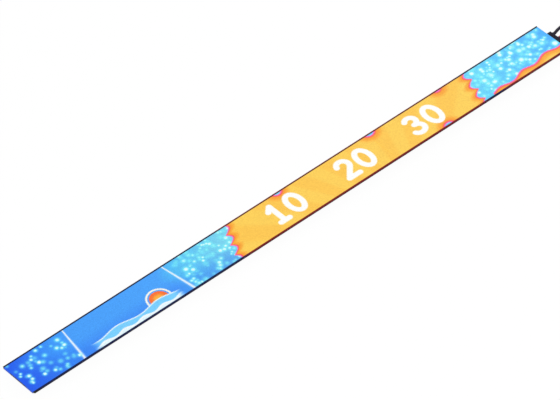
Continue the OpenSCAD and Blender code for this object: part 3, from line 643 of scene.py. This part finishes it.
def picture_on_face():
    """A generic design: bubbles and waves on blue, and a sunny band with plain numbers."""
    along = (np.arange(3 * LED_COLUMNS) + 0.5) * LED_PITCH
    across = (np.arange(LED_ROWS) + 0.5 - LED_ROWS / 2) * LED_PITCH
    s, t = np.meshgrid(along, across, indexing="ij")
    picture = blue_ground(s, t)
    for layer in (sun_and_swells, dividers_and_bubbles, sunny_band):
        picture = layer(picture, s, t)
    for text, left in NUMBERS:
        picture = paint(picture, screen(255, 255, 252), numeral_share(s, t, text, left))
    uneven = 1 + 0.018 * np.random.default_rng(47).standard_normal((*s.shape, 1))
    return np.clip(picture * uneven, 0, 255) / 255


def linear(colour):
    return np.where(colour <= 0.04045, colour / 12.92, ((colour + 0.055) / 1.055) ** 2.4)


# The white room lifts every colour on the satin face by this much, so it is taken off the light
ROOM_VEIL = 0.012


def colour_leds(mesh, picture):
    """Writes each LED's colour to the corners of its quad, and to the resin's sides from the nearest LED."""
    count = len(mesh.polygons)
    centres = np.empty(count * 3)
    mesh.polygons.foreach_get("center", centres)
    centres = centres.reshape(-1, 3) / MM
    column = np.clip(((centres[:, 0] + DISPLAY_LENGTH / 2) / LED_PITCH).astype(int), 0, 3 * LED_COLUMNS - 1)
    row = np.clip((centres[:, 1] / LED_PITCH + LED_ROWS / 2).astype(int), 0, LED_ROWS - 1)
    colours = np.clip(linear(picture[column, row]) - ROOM_VEIL, 0, 1)
    totals = np.empty(count, int)
    mesh.polygons.foreach_get("loop_total", totals)
    corners = np.ones((totals.sum(), 4), np.float32)
    corners[:, :3] = np.repeat(colours, totals, axis=0)
    attribute = mesh.color_attributes.new("picture", "FLOAT_COLOR", "CORNER")
    attribute.data.foreach_set("color", corners.ravel())


picture = picture_on_face()
for index, side in enumerate(MODULES):
    face = led_grid("lit_face_" + side, (index - 1) * MODULE_PITCH, finishes["lit_resin"].material)
    face.materials.clear()
    face.materials.append(finishes["lit_resin"].material)
    face.materials.append(resin_edge.material)
    resin_shell(face)
    colour_leds(face, picture)
    new_piece("lit_face_" + side, face, "lit_resin", "resin_cover_" + side)


# Routes of the wires, as the CAD source gives them

def coil_radius(a, turn):
    return COIL_INNER + 2 * TURN_STEP * (math.hypot(a - turn, TURN_SOFTNESS) - TURN_SOFTNESS) / 360


def coil_point(a, turn):
    drop = (1 - math.cos(math.pi * min(1, max(0, (a - turn + 90) / 180)))) / 2
    reach, at = coil_radius(a, turn), math.radians(a)
    height = COIL_BASE_Z + TURN_STEP * (1 - drop)
    return Vector((COIL_X + reach * math.sin(at), COIL_Y + reach * math.cos(at), height))


def coil_points(turn):
    return [coil_point(i * 360 / RINGS_A_TURN, turn) for i in range(int(COIL_END / 360 * RINGS_A_TURN) + 1)]


LEAD = 3.0


def whole_route(start, turn, finish):
    """Plug to coil, through the coil, and on to the terminal."""
    from_plug = [Vector((WIRE_START_X + x, y, z)) for x, y, z in start]
    to_end = [Vector((WIRE_START_X + x, y, z)) for x, y, z in finish]
    coil = coil_points(turn)
    before = coil[0] - LEAD * (coil[1] - coil[0]).normalized()
    after = coil[-1] + LEAD * (coil[-1] - coil[-2]).normalized()
    return from_plug + [before] + coil + [after] + to_end


def curved(points, steps):
    """The same route with more points on it, on a curve through all of them."""
    made = []
    for i in range(len(points) - 1):
        before, a = points[max(i - 1, 0)], points[i]
        b, after = points[i + 1], points[min(i + 2, len(points) - 1)]
        for k in range(steps):
            u = k / steps
            made.append(0.5 * (
                2 * a + (b - before) * u + (2 * before - 5 * a + 4 * b - after) * u ** 2
                + (3 * a - before - 3 * b + after) * u ** 3
            ))
    return made + [points[-1]]


def tube(name, points, radius, sides=16):
    """A round tube along points, closed at both ends, that turns with its route without twisting."""
    rings, faces = [], []
    across = Vector((0, 0, 1))
    for i, point in enumerate(points):
        ahead = (points[min(i + 1, len(points) - 1)] - points[max(i - 1, 0)]).normalized()
        across = (across - ahead * across.dot(ahead)).normalized()
        other = ahead.cross(across)
        rings += [
            (point + radius * (math.cos(a) * across + math.sin(a) * other)) * MM
            for a in (2 * math.pi * k / sides for k in range(sides))
        ]
    for i in range(len(points) - 1):
        for k in range(sides):
            a, b = i * sides + k, i * sides + (k + 1) % sides
            faces.append((a, b, b + sides, a + sides))
    faces.append(tuple(reversed(range(sides))))
    faces.append(tuple(range((len(points) - 1) * sides, len(points) * sides)))
    mesh = mesh_of(name, rings, faces)
    smooth_sides(mesh, 50)
    return mesh


# Strap round the coil

STRAP_WIDTH = 8.0
STRAP_THICK = 0.35
STRAP_ROUND = 1.6
STRAP_LOOSE = 0.25
LAP_NARROWER = 0.4
LAP_LIFT = 0.02
LAP_STARTS = 5.0
LAP_STOPS = 1.2


def ribbon(rows, closed):
    """Corners and faces of a flat band. Each row has a place on its inner side, one on its outer side,
    and its width."""
    corners = [
        (COIL_X + x, COIL_Y + side * width / 2, z)
        for inner, outer, width in rows for x, z in (inner, outer) for side in (-1, 1)
    ]
    count, faces = len(rows), []
    for i in range(count if closed else count - 1):
        a, b = 4 * i, 4 * ((i + 1) % count)
        faces += [(a + p, a + q, b + q, b + p) for p, q in ((0, 1), (1, 3), (3, 2), (2, 0))]
    if not closed:
        last = 4 * count - 4
        faces += [(0, 2, 3, 1), (last, last + 1, last + 3, last + 2)]
    return corners, faces


def strap():
    """A band round one side of the coil, with its free end lapped over the top."""
    inner = COIL_INNER - WIRE_RADIUS - STRAP_LOOSE
    outer = coil_radius(90, BLACK_TURN) + WIRE_RADIUS + STRAP_LOOSE
    top = COIL_BASE_Z + TURN_STEP + WIRE_RADIUS + STRAP_THICK
    loop = []
    for x, z, start in ((inner, 0, 180), (outer, 0, 270), (outer, top, 0), (inner, top, 90)):
        centre_x = x + math.copysign(STRAP_ROUND, outer - x - 1)
        centre_z = z + math.copysign(STRAP_ROUND, top - z - 1)
        for a in (math.radians(start + 15 * k) for k in range(7)):
            reaches = (STRAP_ROUND - STRAP_THICK, STRAP_ROUND)
            ends = [(centre_x + r * math.cos(a), centre_z + r * math.sin(a)) for r in reaches]
            loop.append((*ends, STRAP_WIDTH))
    lap = [
        ((inner + along, top + lift), (inner + along, top + lift + STRAP_THICK), STRAP_WIDTH - LAP_NARROWER)
        for along, lift in (
            (LAP_STARTS, LAP_LIFT), (LAP_STARTS + 7.0, LAP_LIFT),
            (outer - inner - LAP_STOPS - 1.3, LAP_LIFT), (outer - inner - LAP_STOPS, LAP_LIFT + 0.15),
        )
    ]
    corners, faces = ribbon(loop, True)
    lap_corners, lap_faces = ribbon(lap, False)
    faces += [tuple(k + len(corners) for k in face) for face in lap_faces]
    mesh = mesh_of("coil_strap", [Vector(v) * MM for v in corners + lap_corners], faces)
    body = bmesh.new()
    body.from_mesh(mesh)
    bmesh.ops.recalc_face_normals(body, faces=body.faces)
    body.to_mesh(mesh)
    body.free()
    smooth_sides(mesh, 30)
    return mesh


new_piece("coil_strap", strap(), "tie_fabric", "coil_tie")


# Supply wires

ROUTES = {
    "black": (
        [
            (0, BLACK_Y, WIRE_Z), (2, BLACK_Y, WIRE_Z + 0.3), (6, 7.2, 10.9), (12, 8, 11.6), (19, 8.7, 11.2),
            (26, 9.1, 10.1), (33, 9.2, 8.9), (40, 9.1, 8), (46, 8.8, 7.5),
        ],
        BLACK_TURN,
        [(44, -51.6, 2.6), (38, -50.6, 2.7), (31, -48.6, 2.8)],
    ),
    "red": (
        [
            (0, RED_Y, WIRE_Z), (2, RED_Y, WIRE_Z + 0.3), (6, -3.5, 10.6), (12, -2.3, 11.1), (19, -0.3, 10.6),
            (26, 1.8, 9.6), (33, 3.3, 8.6), (40, 4, 7.8), (46, 3.9, 7.5),
        ],
        RED_TURN,
        [(44, -56.9, 2.6), (38, -56.9, 2.7), (31, -56.4, 2.8)],
    ),
}

for colour, (start, turn, finish) in ROUTES.items():
    route = curved(whole_route(start, turn, finish), 3)
    piece = new_piece(
        "supply_wire_" + colour, tube("supply_wire_" + colour, route, WIRE_RADIUS), colour + "_pvc",
        "wire_" + colour, "coil_" + colour, "tail_" + colour,
    )


# Screws at the ends

def screw_mesh(name, shank, length, head, head_height):
    """A pan head screw along X, with a domed head, an undercut and a cross recess."""
    profile = [
        (-length, 0.0), (-length, shank * 0.7), (-length + 0.4 * shank, shank), (0.0, shank),
        (0.0, head * 0.97), (head_height * 0.12, head), (head_height * 0.45, head * 0.97),
        (head_height * 0.72, head * 0.86), (head_height * 0.9, head * 0.66), (head_height * 0.98, head * 0.4),
        (head_height, 0.0),
    ]
    sides = 32
    points = [
        Vector((x, r * math.cos(2 * math.pi * k / sides), r * math.sin(2 * math.pi * k / sides))) * MM
        for x, r in profile for k in range(sides)
    ]
    faces = [
        (i * sides + k, i * sides + (k + 1) % sides, (i + 1) * sides + (k + 1) % sides, (i + 1) * sides + k)
        for i in range(len(profile) - 1) for k in range(sides)
    ]
    mesh = mesh_of(name, points, faces)
    cutters = bmesh.new()
    for turn in (0, 90):
        made = bmesh.ops.create_cube(cutters, size=1.0)["verts"]
        for v in made:
            height, reach = (0.42, 0.34) if v.co.x < 0 else (1.3, 0.62)
            v.co = Vector((head_height * height, v.co.y * 2 * head * reach, v.co.z * head * 0.24)) * MM
        bmesh.ops.rotate(cutters, verts=made, matrix=Matrix.Rotation(math.radians(turn), 3, "X"))
    cutter_mesh = bpy.data.meshes.new(name + "_recess")
    body = bmesh.new()
    body.from_mesh(mesh)
    bmesh.ops.remove_doubles(body, verts=body.verts, dist=1e-7)
    bmesh.ops.recalc_face_normals(body, faces=body.faces)
    body.to_mesh(mesh)
    body.free()
    bmesh.ops.recalc_face_normals(cutters, faces=cutters.faces)
    cutters.to_mesh(cutter_mesh)
    cutters.free()
    screw = bpy.data.objects.new(name, mesh)
    recess = bpy.data.objects.new(name + "_recess", cutter_mesh)
    scene.collection.objects.link(screw)
    scene.collection.objects.link(recess)
    cut = screw.modifiers.new("recess", "BOOLEAN")
    cut.operation, cut.object, cut.solver, cut.use_self = "DIFFERENCE", recess, "EXACT", True
    depsgraph = bpy.context.evaluated_depsgraph_get()
    made = bpy.data.meshes.new_from_object(screw.evaluated_get(depsgraph))
    bpy.data.objects.remove(screw)
    bpy.data.objects.remove(recess)
    smooth_sides(made, 30)
    return made


def screws(name, places, size, slot, *nodes):
    """Copies of one screw at each place, each facing its own way and stopped at its own turn."""
    pattern = bpy.data.objects.new(name + "_pattern", screw_mesh(name + "_pattern", *size))
    scene.collection.objects.link(pattern)
    spots = mesh_of(name + "_places", [Vector(p[:3]) * MM for p in places], [])
    facing = spots.attributes.new("facing", "FLOAT_VECTOR", "POINT")
    facing.data.foreach_set("vector", [v for p in places for v in p[3:]])
    tree = NodeTree(name)
    given = tree.start.outputs["Geometry"]
    screw = tree.node("GeometryNodeObjectInfo", {"Object": tree.input("Screw", pattern)}).outputs["Geometry"]
    way = tree.node("GeometryNodeInputNamedAttribute", {"Name": "facing"}, data_type="FLOAT_VECTOR")
    turned = tree.node("FunctionNodeAlignRotationToVector", {"Vector": way.outputs[0]}, axis="X").outputs[0]
    limits = {2: 0.0, 3: tree.input("Most Turn", math.pi), 8: tree.input("Seed", 5)}
    stopped = tree.node("FunctionNodeRandomValue", limits, data_type="FLOAT").outputs[1]
    about = tree.node("FunctionNodeAxisAngleToRotation", {"Axis": (1.0, 0.0, 0.0), "Angle": stopped})
    turns = {0: turned, 1: about.outputs[0]}
    both = tree.node("FunctionNodeRotateRotation", turns, rotation_space="LOCAL").outputs[0]
    copies = tree.node("GeometryNodeInstanceOnPoints", {"Points": given, "Instance": screw, "Rotation": both})
    mesh = tree.result(copies.outputs[0], finishes[slot].material, name, spots)
    bpy.data.objects.remove(pattern)
    return new_piece(name, mesh, slot, *nodes)


# Seats of the screws at the right end on the +Y side. Each screw has its shank radius, length, head radius
# and head height.
CAP_SCREW_SEAT = (440.24, 20.6, 4.4)
CAP_SCREW_SIZE = (1.2, 11, 2.1, 1.5)
SOCKET_SCREW_SEAT = (442.2, 13.5, 4.7)
SOCKET_SCREW_SIZE = (0.75, 4.8, 1.3, 0.9)


def at_four_corners(x, y, z):
    return [(end * x, side * y, z, end, 0, 0) for end in (-1, 1) for side in (-1, 1)]


screws("cap_screws", at_four_corners(*CAP_SCREW_SEAT), CAP_SCREW_SIZE, "black_steel", "end_cap_screws")
screws("mouth_screws", at_four_corners(*SOCKET_SCREW_SEAT), SOCKET_SCREW_SIZE, "zinc_steel", "socket_screws")


# Finishes of the CAD parts that stay

for part in frame["record"]["subparts"]:
    node = frame["nodes"][part["node"]]
    node.data.materials.clear()
    node.data.materials.append(finishes[part["material_slot"]].material)


# Room

FLOOR_HALF = 6
FLOOR_DROP = 0.05
FLOOR_WHITE_SHARE = 0.96
WORLD_LIGHT = 0.72
# Lamps: name, place, size and watts
LAMPS = (("key", (-1.3, -1.5, 2.0), 1.4, 30.0), ("fill", (1.6, 0.9, 1.8), 1.6, 18.0))


def room():
    """A pale floor that keeps a light shadow, a white world, and two soft lamps."""
    low = -FLOOR_DROP * MM
    corners = [(x * FLOOR_HALF, y * FLOOR_HALF, low) for x, y in ((-1, -1), (1, -1), (1, 1), (-1, 1))]
    mesh = mesh_of("floor", corners, [(0, 1, 2, 3)])
    floor = bpy.data.objects.new("floor", mesh)
    scene.collection.objects.link(floor)
    f = Finish("floor_white", 0.9, specular=0.0)
    f.colour(f.between(f.noise(3), (0.90, 0.90, 0.90), (0.92, 0.92, 0.92)))
    path = f.node("ShaderNodeLightPath").outputs
    seen = f.maths("MAXIMUM", path["Is Glossy Ray"], path["Is Transmission Ray"])
    seen = f.maths("MAXIMUM", path["Is Camera Ray"], seen)
    white = f.node("ShaderNodeEmission", {"Color": (1.0, 1.0, 1.0), "Strength": 1.0}).outputs[0]
    share = f.maths("MULTIPLY", seen, FLOOR_WHITE_SHARE)
    mixed = f.node("ShaderNodeMixShader", {0: share, 1: f.shader.outputs[0], 2: white})
    f.tree.links.new(mixed.outputs[0], f.tree.nodes["Material Output"].inputs["Surface"])
    mesh.materials.append(f.material)

    world = bpy.data.worlds.new("room")
    scene.world = world
    world.use_nodes = True
    nodes, links = world.node_tree.nodes, world.node_tree.links
    light = nodes["Background"]
    light.inputs["Color"].default_value = (1, 1, 1, 1)
    path = nodes.new("ShaderNodeLightPath").outputs
    widest = None
    for name in ("Is Camera Ray", "Is Glossy Ray", "Is Transmission Ray"):
        if widest is None:
            widest = path[name]
            continue
        both = nodes.new("ShaderNodeMath")
        both.operation = "MAXIMUM"
        links.new(widest, both.inputs[0])
        links.new(path[name], both.inputs[1])
        widest = both.outputs[0]
    strength = nodes.new("ShaderNodeMapRange")
    links.new(widest, strength.inputs["Value"])
    strength.inputs["To Min"].default_value = WORLD_LIGHT
    strength.inputs["To Max"].default_value = 1.0
    links.new(strength.outputs["Result"], light.inputs["Strength"])

    for name, place, size, watts in LAMPS:
        data = bpy.data.lights.new(name, "AREA")
        data.shape, data.size, data.energy = "DISK", size, watts
        lamp = bpy.data.objects.new(name, data)
        lamp.location = place
        lamp.rotation_euler = (-Vector(place)).to_track_quat("-Z", "Y").to_euler()
        scene.collection.objects.link(lamp)


room()
